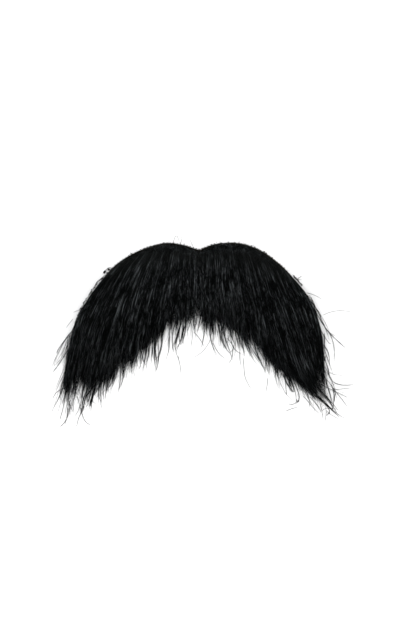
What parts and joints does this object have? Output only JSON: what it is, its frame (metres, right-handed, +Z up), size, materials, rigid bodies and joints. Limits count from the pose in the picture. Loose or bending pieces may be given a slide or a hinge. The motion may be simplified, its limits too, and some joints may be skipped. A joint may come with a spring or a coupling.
{
  "type": "fake moustache",
  "caption": "Full walrus-style fake moustache: two wings of layered black hair knotted on a crescent of net with a corded edge, lying flat on its back.",
  "frame": {"origin": "on the surface that it lies on, under the middle of the whole moustache", "axes": "+Z up, away from the surface and out of the face; +Y to the edge under the nose; +X to the viewer's right"},
  "size_m": [0.122, 0.0744, 0.0085],
  "materials": {
    "hair": "glossy black hair strands",
    "net": "fine dark olive-brown net",
    "edge_cord": "matt twisted black-brown cord"
  },
  "bodies": {
    "root": {"net_backing": "net", "edge_cord": "edge_cord", "left_under_hair": "hair", "left_top_hair": "hair", "right_under_hair": "hair", "right_top_hair": "hair"}
  },
  "joints": []
}
